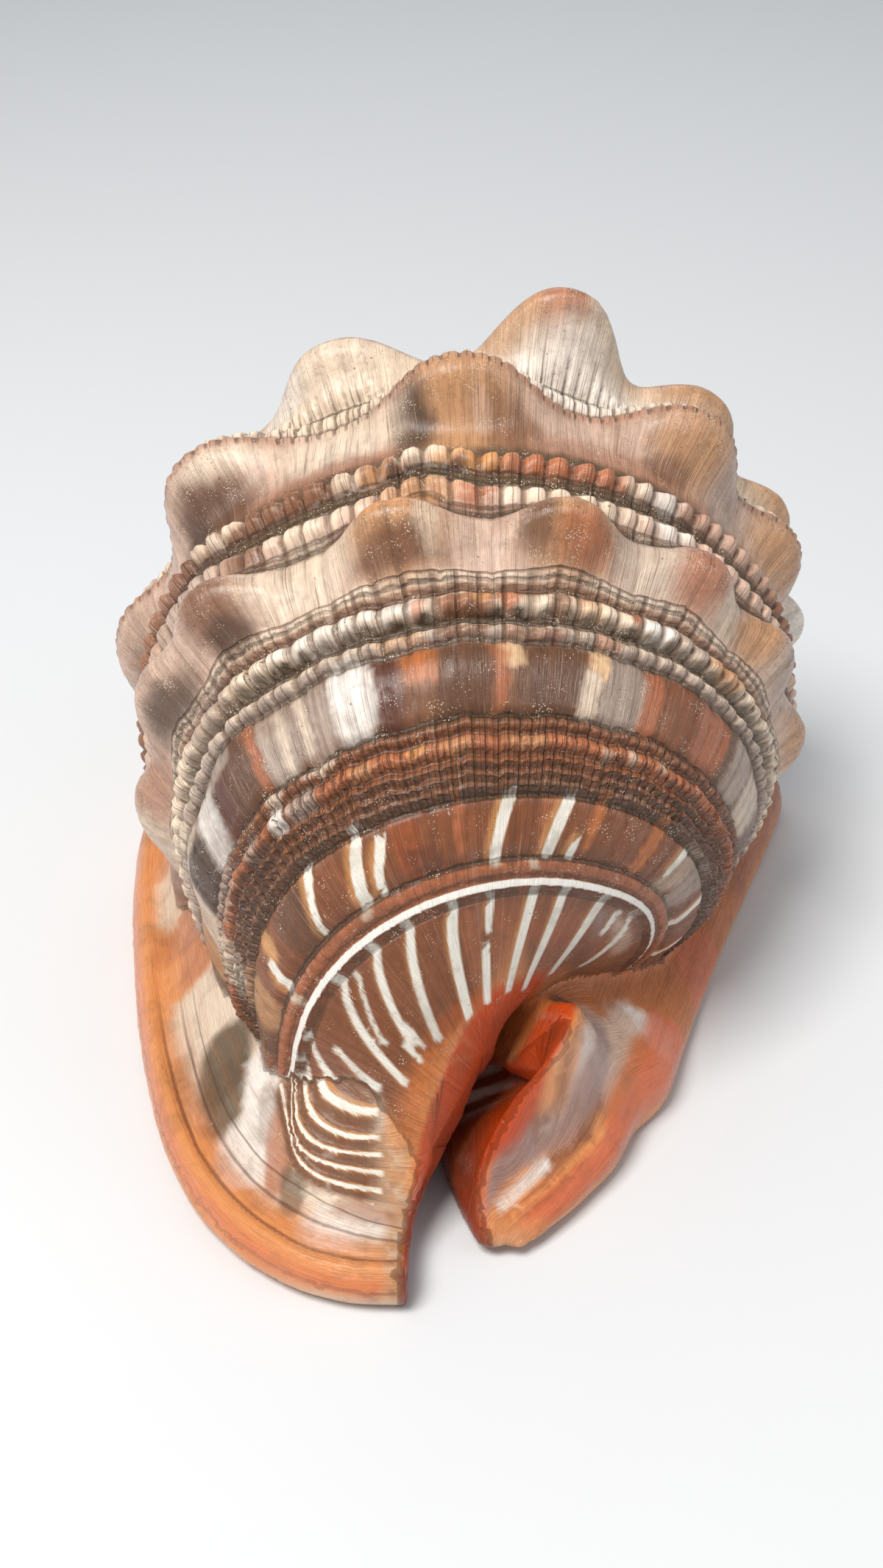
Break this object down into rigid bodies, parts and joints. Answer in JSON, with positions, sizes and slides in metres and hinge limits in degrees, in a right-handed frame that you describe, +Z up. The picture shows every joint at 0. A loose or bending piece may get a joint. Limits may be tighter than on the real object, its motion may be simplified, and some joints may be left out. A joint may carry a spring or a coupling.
{
  "type": "bullmouth helmet shell",
  "caption": "Heavy knobbed sea-snail shell with a broad rolled lip, a toothed slit underneath and an open siphon notch at the front.",
  "frame": {"origin": "middle of the shell's footprint, on the surface it lies on", "axes": "+Y along the shell towards the spire, -Y towards the siphonal canal, +X towards the inner-lip side, +Z up out of the back of the shell"},
  "size_m": [0.1188, 0.141, 0.1018],
  "materials": {
    "shell": "satin"
  },
  "bodies": {
    "root": {"shell": "shell"}
  },
  "joints": []
}
